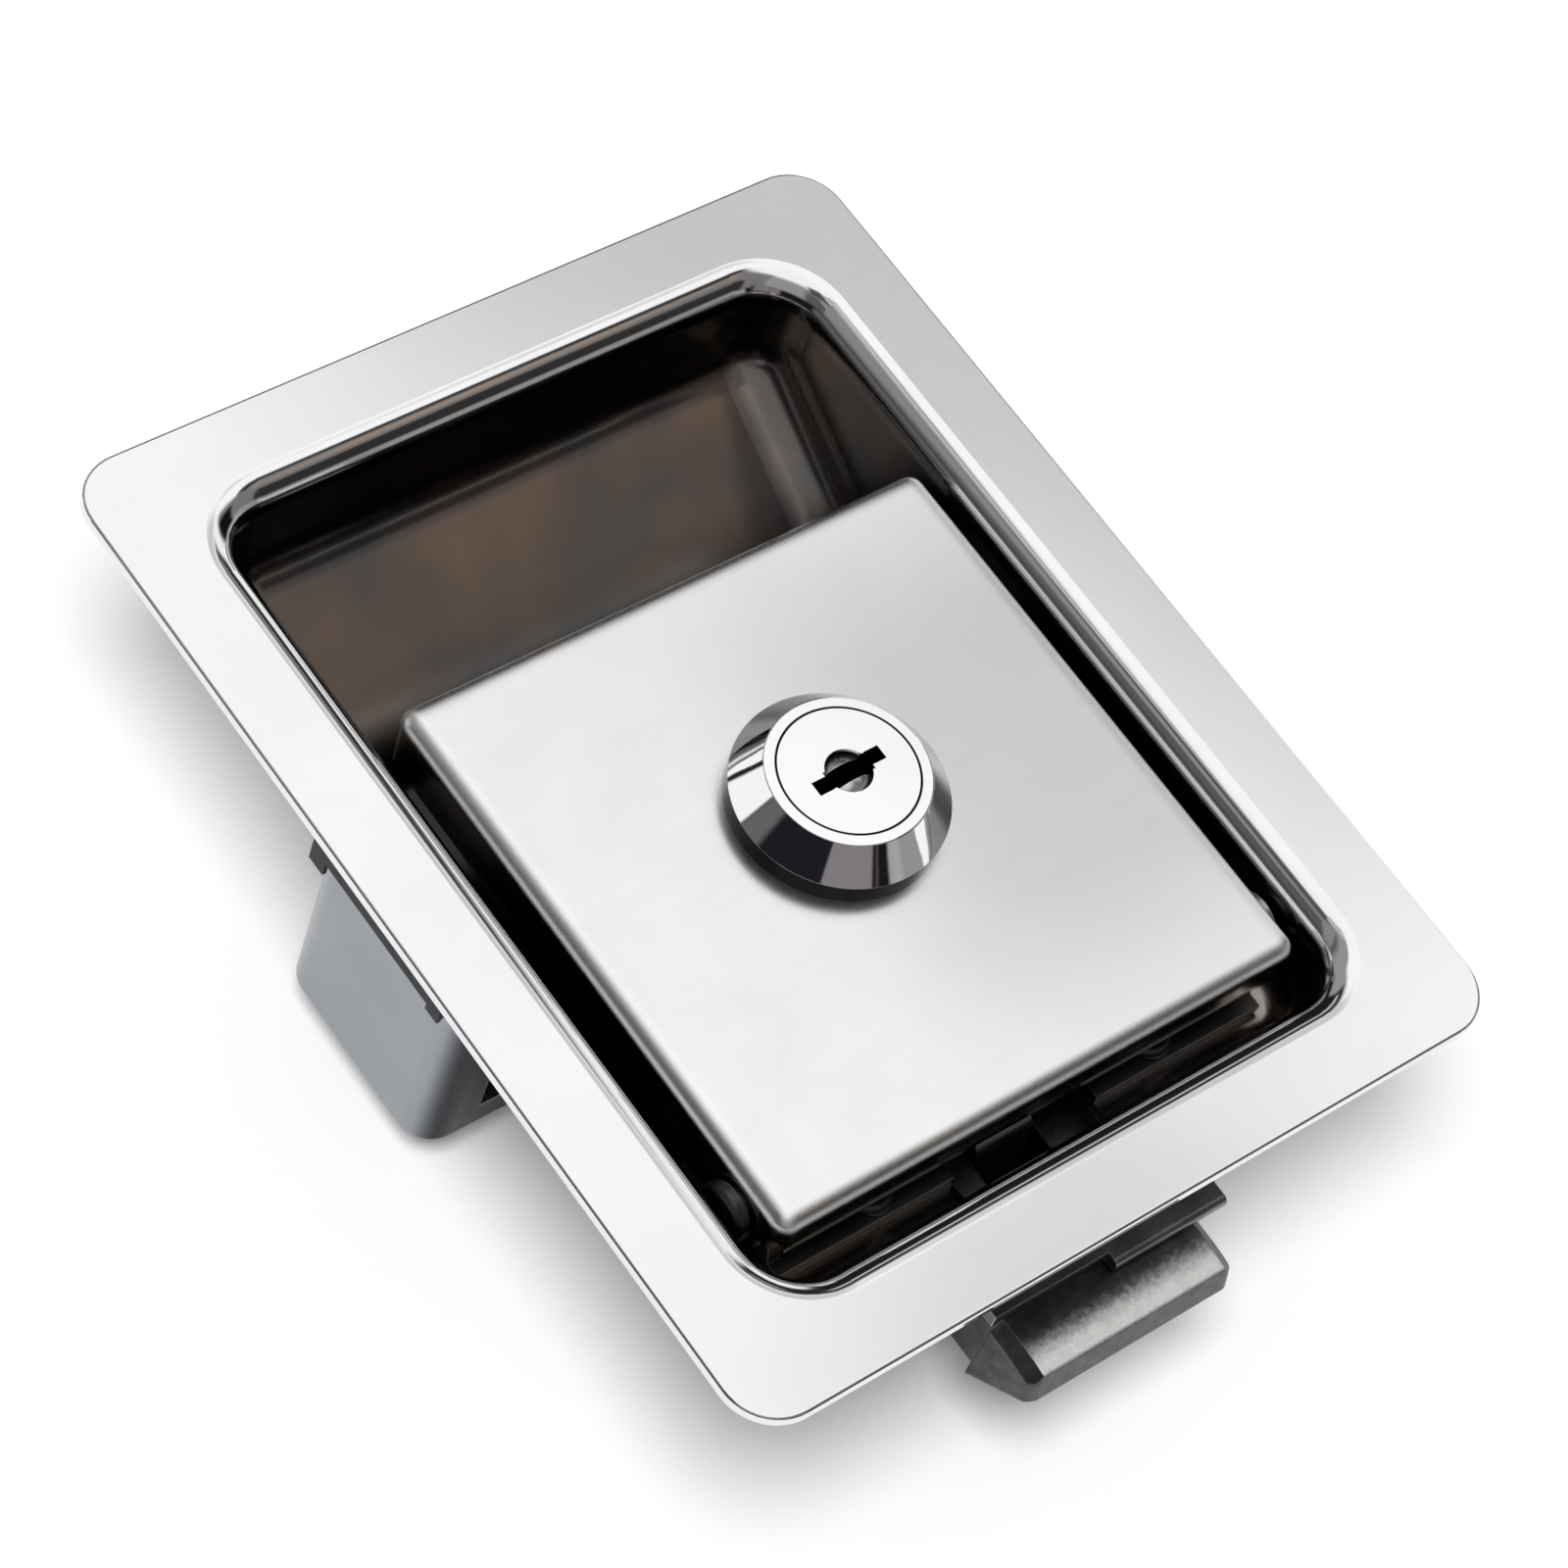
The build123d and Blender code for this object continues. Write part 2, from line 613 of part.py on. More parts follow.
def paddle_form(wall):
    """The folded tray of the paddle as a solid, its faces 'wall' inside the outer ones."""
    with BuildPart() as form:
        with BuildSketch(Plane.XY.offset(level(paddle_skirt_bottom))):
            with Locations((0, (paddle_near_y + paddle_far_y) / 2)):
                Rectangle(2 * (paddle_half_width - wall), paddle_far_y - paddle_near_y - 2 * wall)
        extrude(amount=paddle_skirt_bottom + paddle_proud - wall)
        fillet(form.edges().filter_by(Axis.Z), radius=paddle_bend - wall)
        fillet(form.faces().sort_by(Axis.Z)[-1].edges(), radius=paddle_bend - wall - edge_break / 4)
    return form.part


with BuildPart() as paddle:
    add(paddle_form(0))
    add(paddle_form(sheet), mode=Mode.SUBTRACT)
    # the skirts are trimmed to a shallow edge, with round ears left at the hinge
    with BuildSketch(Plane.YZ):
        with Locations((hinge_y, level(paddle_skirt_bottom))):
            Rectangle(hinge_y - paddle_near_y + sheet, paddle_skirt_bottom - paddle_near_skirt,
                      align=(Align.MAX, Align.MIN))
            Rectangle(paddle_far_y - hinge_y + sheet, paddle_skirt_bottom - paddle_skirt,
                      align=(Align.MIN, Align.MIN))
        with Locations((hinge_y, level(hinge_depth))):
            Circle(paddle_ear_radius, mode=Mode.SUBTRACT)
    extrude(amount=paddle_half_width + sheet, both=True, mode=Mode.SUBTRACT)
    # small reliefs where the folded edges meet at the corners
    with BuildSketch(Plane.XY.offset(level(sheet))):
        for x in (-paddle_half_width, paddle_half_width):
            for y in (paddle_near_y, paddle_far_y):
                with Locations((x, y)):
                    Circle(fold_relief)
    extrude(amount=-paddle_skirt_bottom, mode=Mode.SUBTRACT)
    # hinge holes through both skirts
    with BuildSketch(Plane.YZ):
        with Locations((hinge_y, level(hinge_depth))):
            Circle(hinge_pin_radius + running_gap)
    extrude(amount=paddle_half_width + sheet, both=True, mode=Mode.SUBTRACT)
    # flatted hole that keeps the lock barrel from turning
    with BuildSketch(Plane.XY.offset(level(-paddle_proud))):
        with Locations((0, lock_y)):
            Circle(barrel_radius + edge_break / 4)
            Rectangle(2 * barrel_radius + sheet, barrel_flats + edge_break / 2, mode=Mode.INTERSECT)
    extrude(amount=-2 * sheet, mode=Mode.SUBTRACT)
save(paddle.part, "paddle")

# bent strip, spot-welded under the paddle; its tip works in the window of the bolt
tongue_root_y = -24.0
tongue_bend_y = -33.0
tongue_neck_depth = 8.0
tongue_tip_depth = 20.5
tongue_tip_y = -43.0
tongue_heel_y = -42.0
tongue_heel_depth = 13.5
with BuildPart() as trip_tongue:
    with BuildSketch(Plane.YZ):
        with BuildLine():
            centre_depth = paddle_inner_depth + tongue_thickness / 2
            FilletPolyline(
                (tongue_root_y, level(centre_depth)),
                (tongue_bend_y, level(centre_depth)),
                (tongue_bend_y, level(tongue_neck_depth)),
                (tongue_heel_y, level(tongue_heel_depth)),
                (tongue_tip_y, level(tongue_tip_depth)),
                radius=tongue_thickness,
            )
            offset(amount=tongue_thickness / 2, side=Side.BOTH)
        make_face()
    extrude(amount=tongue_half_width, both=True)
    with BuildSketch(Plane.XY.offset(level(paddle_inner_depth))):
        with Locations((0, (tongue_root_y + tongue_bend_y) / 2 + tongue_thickness / 2)):
            RectangleRounded(4 * tongue_half_width, tongue_root_y - tongue_bend_y - tongue_thickness,
                             tongue_thickness)
    extrude(amount=-tongue_thickness)
save(trip_tongue.part, "trip_tongue")

# ---------------------------------------------------------------- lock
def lock_plane(depth):
    """Plane across the lock's axis at a depth below the flange."""
    return Plane((0, lock_y, level(depth)))


plug_bore_radius = plug_radius + running_gap
with BuildPart() as lock_barrel:
    with BuildSketch(Plane(origin=(0, lock_y, 0), x_dir=(1, 0, 0), z_dir=(0, -1, 0))):
        with BuildLine():
            Polyline(
                (plug_bore_radius, level(-bezel_face_height)),
                (bezel_face_radius, level(-bezel_face_height)),
                (bezel_radius, level(-bezel_rim_height)),
                (bezel_radius, level(-paddle_proud)),
                (barrel_radius, level(-paddle_proud)),
                (barrel_radius, level(barrel_depth)),
                (plug_bore_radius, level(barrel_depth)),
                close=True,
            )
        make_face()
    revolve(axis=Axis((0, lock_y, 0), (0, 0, 1)))
    for side in (-1, 1):
        near = lock_y + side * barrel_flats / 2
        far = lock_y + side * (barrel_radius + sheet)
        block(-barrel_radius, barrel_radius, min(near, far), max(near, far),
              -paddle_proud, barrel_depth, mode=Mode.SUBTRACT)
    face_rim = lock_barrel.faces().sort_by(Axis.Z)[-1].outer_wire().edges()
    fillet(face_rim, radius=edge_break / 2)
save(lock_barrel.part, "lock_barrel")

washer_height = 0.8
nut_height = 3.5
nut_flats = 22.0
with BuildPart() as lock_washer:
    with BuildSketch(lock_plane(paddle_inner_depth)):
        Circle(nut_flats / 2)
        Circle(barrel_radius + slide_gap / 2, mode=Mode.SUBTRACT)
        with PolarLocations(nut_flats / 2, 12):
            Circle(washer_height, mode=Mode.SUBTRACT)
    extrude(amount=-washer_height)
save(lock_washer.part, "lock_washer")

with BuildPart() as lock_nut:
    with BuildSketch(lock_plane(paddle_inner_depth + washer_height)):
        RegularPolygon(nut_flats / 2, 6, major_radius=False)
        Circle(barrel_radius + running_gap, mode=Mode.SUBTRACT)
    extrude(amount=-nut_height)
save(lock_nut.part, "lock_nut")

wafer_count = 5
wafer_pitch = 2.2
wafer_first_depth = -1.0
wafer_thickness = 0.9
wafer_width = 5.0
wafer_length = 12.6
wafer_gap = 0.1
keyway_depth = 10.5
shutter_top = 0.1                       # the shutter is slightly domed inside its recess
shutter_rim = 0.9
shutter_depth = 1.3
tail_radius = 3.6
tail_flats = 5.2
cam_bottom_depth = plug_depth + cam_thickness
cam_screw_radius = 2.0


def keyway_shape(ease=0, mode=Mode.ADD):
    """Outline of the key slot, 'ease' wider than the plain one."""
    end_length = (keyway_length - keyway_middle) / 2
    Rectangle(keyway_middle, keyway_width + ease, mode=mode)
    for side in (-1, 1):
        with Locations((side * (keyway_middle + end_length) / 2, side * keyway_end_shift)):
            Rectangle(end_length, keyway_end_width + ease, mode=mode)


with BuildPart() as lock_plug:
    with BuildSketch(lock_plane(-bezel_face_height)):
        Circle(plug_radius)
    extrude(amount=-(bezel_face_height + plug_depth))
    chamfer(lock_plug.faces().sort_by(Axis.Z)[-1].edges(), length=edge_break / 4)
    with BuildSketch(lock_plane(plug_depth)):
        Circle(tail_radius)
        Rectangle(2 * tail_radius, tail_flats, mode=Mode.INTERSECT)
    extrude(amount=-(cam_thickness - edge_break / 4))
    with BuildSketch(lock_plane(-bezel_face_height)):
        Circle(shutter_radius)
    extrude(amount=-shutter_depth, mode=Mode.SUBTRACT)
    with BuildSketch(lock_plane(-bezel_face_height)):
        keyway_shape()
    extrude(amount=-(bezel_face_height + keyway_depth), mode=Mode.SUBTRACT)
    for index in range(wafer_count):
        with BuildSketch(lock_plane(wafer_first_depth + index * wafer_pitch - wafer_gap)):
            Rectangle(wafer_length + 2 * wafer_gap, wafer_width + 2 * wafer_gap)
        extrude(amount=-(wafer_thickness + 2 * wafer_gap), mode=Mode.SUBTRACT)
    with BuildSketch(lock_plane(cam_bottom_depth)):
        Circle(cam_screw_radius)
    extrude(amount=cam_thickness + 2 * cam_screw_radius, mode=Mode.SUBTRACT)
save(lock_plug.part, "lock_plug")

with BuildPart() as keyway_shutter:
    with BuildSketch(Plane(origin=(0, lock_y, 0), x_dir=(1, 0, 0), z_dir=(0, -1, 0))):
        with BuildLine():
            dome_top = level(shutter_top - bezel_face_height)
            dome_rim = level(shutter_rim - bezel_face_height)
            recess = level(shutter_depth - bezel_face_height)
            TangentArc((0, dome_top), (shutter_radius, dome_rim), tangent=(1, 0))
            Polyline((shutter_radius, dome_rim), (shutter_radius, recess), (0, recess), (0, dome_top))
        make_face()
    revolve(axis=Axis((0, lock_y, 0), (0, 0, 1)))
    with BuildSketch(lock_plane(-bezel_face_height)):
        keyway_shape()
    extrude(amount=-bezel_face_height, mode=Mode.SUBTRACT)
save(keyway_shutter.part, "keyway_shutter")

with BuildPart() as lock_wafers:
    for index in range(wafer_count):
        with BuildSketch(lock_plane(wafer_first_depth + index * wafer_pitch)):
            Rectangle(wafer_length, wafer_width)
            keyway_shape(edge_break, mode=Mode.SUBTRACT)
        extrude(amount=-wafer_thickness)
save(lock_wafers.part, "lock_wafers")

with BuildPart() as lock_cam:
    with BuildSketch(lock_plane(plug_depth)):
        with Locations((-(cam_reach - cam_width / 2) / 2, 0)):
            SlotOverall(cam_reach + cam_width / 2, cam_width)
    extrude(amount=-cam_thickness)
    with BuildSketch(lock_plane(plug_depth)):
        Circle(tail_radius)
        Rectangle(2 * tail_radius, tail_flats, mode=Mode.INTERSECT)
    extrude(amount=-cam_thickness, mode=Mode.SUBTRACT)
save(lock_cam.part, "lock_cam")

cam_washer_thickness = 0.6
cam_washer_radius = 4.6
with BuildPart() as cam_washer:
    with BuildSketch(lock_plane(cam_bottom_depth)):
        Circle(cam_washer_radius)
        Circle(cam_screw_radius + slide_gap / 2, mode=Mode.SUBTRACT)
        with PolarLocations(cam_washer_radius, 8):
            Circle(cam_washer_thickness, mode=Mode.SUBTRACT)
    extrude(amount=-cam_washer_thickness)
save(cam_washer.part, "cam_washer")

cam_screw_head = 2.2
with BuildPart() as cam_screw:
    with BuildSketch(lock_plane(cam_bottom_depth + cam_washer_thickness)):
        RegularPolygon(cam_width / 2 - cam_screw_radius, 6, major_radius=False)
    extrude(amount=-cam_screw_head)
    with BuildSketch(lock_plane(cam_bottom_depth + cam_washer_thickness)):
        Circle(cam_screw_radius)
    extrude(amount=cam_thickness + cam_washer_thickness + 2 * cam_screw_radius - edge_break)
save(cam_screw.part, "cam_screw")
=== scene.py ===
"""Looks of the recessed paddle latch: materials, small fittings, studio light and camera.

Lengths are in metres in the CAD's own frame: the gasket's rear face is at z = 0, +Z points
out of the door and -Y runs along the bolt.
"""
import math

import bmesh
import bpy
from mathutils import Euler, Matrix, Vector


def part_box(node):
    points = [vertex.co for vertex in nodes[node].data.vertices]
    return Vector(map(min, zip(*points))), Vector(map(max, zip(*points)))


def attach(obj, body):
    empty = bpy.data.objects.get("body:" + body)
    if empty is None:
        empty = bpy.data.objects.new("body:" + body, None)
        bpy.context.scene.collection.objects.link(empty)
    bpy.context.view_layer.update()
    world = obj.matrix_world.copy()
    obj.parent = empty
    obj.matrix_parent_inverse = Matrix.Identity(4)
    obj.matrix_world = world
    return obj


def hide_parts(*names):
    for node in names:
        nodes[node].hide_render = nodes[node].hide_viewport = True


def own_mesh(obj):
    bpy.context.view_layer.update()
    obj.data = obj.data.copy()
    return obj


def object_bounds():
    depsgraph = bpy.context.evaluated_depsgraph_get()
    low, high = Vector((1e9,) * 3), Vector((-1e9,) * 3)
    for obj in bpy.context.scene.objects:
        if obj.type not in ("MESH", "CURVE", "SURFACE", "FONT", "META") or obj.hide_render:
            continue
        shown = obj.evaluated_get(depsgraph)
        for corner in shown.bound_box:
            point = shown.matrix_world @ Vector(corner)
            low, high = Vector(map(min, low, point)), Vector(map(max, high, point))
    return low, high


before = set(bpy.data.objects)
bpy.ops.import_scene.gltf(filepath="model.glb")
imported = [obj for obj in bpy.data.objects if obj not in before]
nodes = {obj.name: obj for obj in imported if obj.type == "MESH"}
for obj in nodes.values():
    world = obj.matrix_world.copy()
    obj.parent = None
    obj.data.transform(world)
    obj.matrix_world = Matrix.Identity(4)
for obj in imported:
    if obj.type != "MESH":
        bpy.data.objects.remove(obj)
cad_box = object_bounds()
MM = 0.001


# ---------------------------------------------------------------- places taken from the frame
def middle(node):
    """Centre of a node's box at rest."""
    low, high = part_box(node)
    return (Vector(low) + Vector(high)) / 2


def top_of(node):
    """Height of a node's highest point at rest."""
    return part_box(node)[1][2]


BEZEL_HEIGHT = 3.6 * MM
bolt_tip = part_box("latch_bolt")[0][1]
lock_axis = middle("lock_plug")
plug_radius = (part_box("lock_plug")[1][0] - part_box("lock_plug")[0][0]) / 2
flange_face = top_of("dish")
paddle_face = top_of("paddle")
lock_face = top_of("lock_plug")
bezel_edge = lock_face - BEZEL_HEIGHT


# ---------------------------------------------------------------- node graph helper
class Graph:
    """Adds shader nodes to a tree and links them in one line each."""

    def __init__(self, tree):
        self.tree = tree
        tree.nodes.clear()

    def add(self, kind, inputs=None, **settings):
        node = self.tree.nodes.new(kind)
        for key, value in settings.items():
            setattr(node, key, value)
        for key, value in (inputs or {}).items():
            self.put(node.inputs[key], value)
        return node

    def put(self, socket, value):
        if isinstance(value, bpy.types.NodeSocket):
            self.tree.links.new(value, socket)
        else:
            socket.default_value = value

    def math(self, operation, a, b=0.0):
        return self.add("ShaderNodeMath", {0: a, 1: b}, operation=operation).outputs[0]

    def vector(self, operation, a, b=(0, 0, 0)):
        node = self.add("ShaderNodeVectorMath", {0: a, 1: b}, operation=operation)
        return node.outputs["Value" if operation in ("LENGTH", "DOT_PRODUCT") else "Vector"]

    def part(self, vector, axis):
        return self.add("ShaderNodeSeparateXYZ", {0: vector}).outputs[axis]

    def place(self):
        return self.add("ShaderNodeTexCoord").outputs["Object"]

    def normal(self):
        return self.add("ShaderNodeNewGeometry").outputs["Normal"]

    def soft_normal(self, radius):
        return self.add("ShaderNodeBevel", {"Radius": radius}, samples=6).outputs[0]

    def spread(self, value, low, high, to_low=0.0, to_high=1.0, smooth=False):
        kind = "SMOOTHSTEP" if smooth else "LINEAR"
        node = self.add("ShaderNodeMapRange", {"Value": value, "From Min": low, "From Max": high,
                                               "To Min": to_low, "To Max": to_high},
                        interpolation_type=kind)
        return node.outputs["Result"]

    def mix(self, factor, a, b):
        return self.add("ShaderNodeMix", {0: factor, 6: a, 7: b}, data_type="RGBA").outputs[2]

    def noise(self, where, scale, detail=2.0, roughness=0.5):
        node = self.add("ShaderNodeTexNoise", {"Vector": where, "Scale": scale, "Detail": detail,
                                               "Roughness": roughness})
        return node.outputs["Fac"]

    def finish(self, shader, target="Material"):
        output = self.add("ShaderNodeOutput" + target)
        self.tree.links.new(shader.outputs[0], output.inputs["Surface"])


def grey(value):
    return (value, value, value, 1.0)


# ---------------------------------------------------------------- where a finish changes
def lock_ring(g, where):
    """Dark line of the running gap between plug and barrel, on the lock's face."""
    fades_out, full = 0.17 * MM, 0.09 * MM
    offset = g.vector("ADD", where, (-lock_axis.x, -lock_axis.y, 0))
    radius = g.vector("LENGTH", g.vector("MULTIPLY", offset, (1, 1, 0)))
    off_line = g.math("ABSOLUTE", g.math("SUBTRACT", radius, plug_radius))
    return g.spread(off_line, fades_out, full)


def dish_inside(g, where):
    """Only the faces of the dish that look into its hollow, where its painted reflection and shade
    go.
    """
    low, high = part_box("dish")
    soft = 0.12
    outward = [2 / (low[axis] - high[axis]) for axis in (0, 1)] + [0.0]
    leaning = g.vector("ADD", g.vector("MULTIPLY", where, outward), (0, 0, 1))
    return g.spread(g.vector("DOT_PRODUCT", leaning, g.normal()), -soft, soft)


def above_paddle(g, where):
    """Only the part of the lock that stands out of the paddle."""
    return g.spread(g.part(where, "Z"), paddle_face - 1.0 * MM, paddle_face - 0.4 * MM)


def paddle_painted_shade(g, where):
    """Painted shade: the satin sheet is painted a little darker beside the lock on its right."""
    shade_x = (-14 * MM, 16 * MM)
    shade_y, clear_out, shade_in = -12 * MM, 38 * MM, 12 * MM
    across = g.spread(g.part(where, "X"), *shade_x, smooth=True)
    off_middle = g.math("ABSOLUTE", g.math("ADD", g.part(where, "Y"), -shade_y))
    return g.math("MULTIPLY", across, g.spread(off_middle, clear_out, shade_in, smooth=True))


def bolt_painted_highlight(g, where):
    """Painted highlight: the bolt's upper face is painted bright towards its nose, with a ragged
    limit.
    """
    starts, full, ragged_by = bolt_tip + 5.2 * MM, bolt_tip + 1.6 * MM, 3.4 * MM
    ragged = g.math("MULTIPLY", g.math("SUBTRACT", g.noise(where, 1300.0, 5.0, 0.75), 0.5),
                    ragged_by)
    lit_share = g.spread(g.math("ADD", g.part(where, "Y"), ragged), starts, full, smooth=True)
    faces_up = g.spread(g.part(g.normal(), "Z"), 0.80, 0.95)
    return g.math("MULTIPLY", lit_share, faces_up)


def yoke_painted_shade(g, where):
    """Painted shade: the yoke's walls that face the bolt are painted darker than its legs."""
    return g.spread(g.part(g.normal(), "Y"), -0.35, -0.95, smooth=True)


# ---------------------------------------------------------------- materials
STREAK_SCALE = 900.0            # streaks to a metre, across them
STREAK_STRETCH = 45             # length of a streak over its width
STREAK_DEPTH = 0.004 * MM
WORN_EDGE_WIDTH = 0.25 * MM


def paint_depth_shade(g, where, base, rough, fade, fade_rough, hollow, gloom):
    """Colour and roughness of a finish with painted shade that goes dark with depth, in cloudy
    patches.
    """
    high, low, deep, cool = fade
    level = g.part(where, "Z")
    depth = g.spread(level, high, low, smooth=True)
    if hollow:
        depth = g.math("MULTIPLY", depth, hollow(g, where))
    clouds = g.spread(g.noise(where, 42.0, 3.0, 0.6), 0.38, 0.62)
    base = g.mix(depth, base, g.mix(clouds, cool, deep))
    if gloom:
        bottom = g.math("MULTIPLY", depth, g.spread(level, *gloom, smooth=True))
        base = g.mix(bottom, base, grey(0.03))
    return base, g.math("ADD", rough, g.math("MULTIPLY", depth, fade_rough))


def streak_lines(g, where):
    """Noise drawn out along X, as polishing and rolling leave it."""
    lines = g.add("ShaderNodeMapping", {
        "Vector": where, "Scale": (STREAK_SCALE / STREAK_STRETCH, STREAK_SCALE, STREAK_SCALE)})
    return g.noise(lines.outputs[0], 1.0, 4.0, 0.65)


def worn_edges(g, where, base, edge):
    """Colour 'edge' along the sharp edges, in ragged lines."""
    turn = g.vector("DOT_PRODUCT", g.soft_normal(WORN_EDGE_WIDTH), g.normal())
    ragged = g.math("MULTIPLY", g.noise(where, 700.0, 3.0, 0.6), 0.16)
    return g.mix(g.spread(g.math("ADD", turn, ragged), 1.03, 0.93), base, edge)


def surface(name, color, roughness, metallic=1.0, tint=None, tint_scale=60.0, tint_share=0.5,
            rough_spread=0.05, rough_scale=120.0, streaks=0.0, grain=0.0, grain_scale=1500.0,
            dents=0.0, dent_scale=40.0, edge=None, round_edges=0.12 * MM, fade=None,
            fade_rough=0.0, hollow=None, gloom=None, fold=None, mark=None, mark_color=None,
            spec=0.5):
    """A procedural finish: uneven colour and roughness, streaks or grain, worn or dull edges.

    'fade' is a pair of heights and the two colours of painted shade that the finish darkens to
    between them;
    'hollow' is a function that gives where that painted shade is wanted;
    'gloom' is a pair of heights between which the painted shade goes on to near black;
    'fold' is a pair of heights and the change of roughness between them;
    'mark' is a function that gives the share of 'mark_color';
    'grain' and 'dents' are the heights of fine and wide bumps, in millimetres.
    """
    material = bpy.data.materials.new(name)
    material.use_nodes = True
    g = Graph(material.node_tree)
    where = g.place()

    base = color
    if tint:
        patch = g.spread(g.noise(where, tint_scale, 3.0, 0.55), 0.35, 0.68)
        base = g.mix(g.math("MULTIPLY", patch, tint_share), color, tint)
    if mark:
        base = g.mix(mark(g, where), base, mark_color)
    rough = g.math("ADD", roughness - rough_spread / 2,
                   g.math("MULTIPLY", g.noise(where, rough_scale, 4.0, 0.6), rough_spread))
    if fade:
        base, rough = paint_depth_shade(g, where, base, rough, fade, fade_rough, hollow, gloom)
    if fold:
        start, end, change = fold
        rough = g.math("ADD", rough, g.spread(g.part(where, "Z"), start, end, 0.0, change))

    heights = []
    if streaks:
        line = streak_lines(g, where)
        rough = g.math("ADD", rough, g.math("MULTIPLY", g.math("SUBTRACT", line, 0.5), streaks))
        heights.append(g.math("MULTIPLY", line, streaks * STREAK_DEPTH))
    if grain:
        heights.append(g.math("MULTIPLY", g.noise(where, grain_scale, 3.0, 0.65), grain * MM))
    if dents:
        heights.append(g.math("MULTIPLY", g.noise(where, dent_scale, 1.0, 0.4), dents * MM))
    normal = g.soft_normal(round_edges)
    if heights:
        height = heights[0]
        for more in heights[1:]:
            height = g.math("ADD", height, more)
        normal = g.add("ShaderNodeBump", {"Strength": 1.0, "Distance": 1.0, "Height": height,
                                          "Normal": normal}).outputs[0]
    if edge:
        base = worn_edges(g, where, base, edge)
    g.finish(g.add("ShaderNodeBsdfPrincipled", {
        "Base Color": base, "Metallic": metallic, "Roughness": rough,
        "Specular IOR Level": spec, "Normal": normal}))
    return material


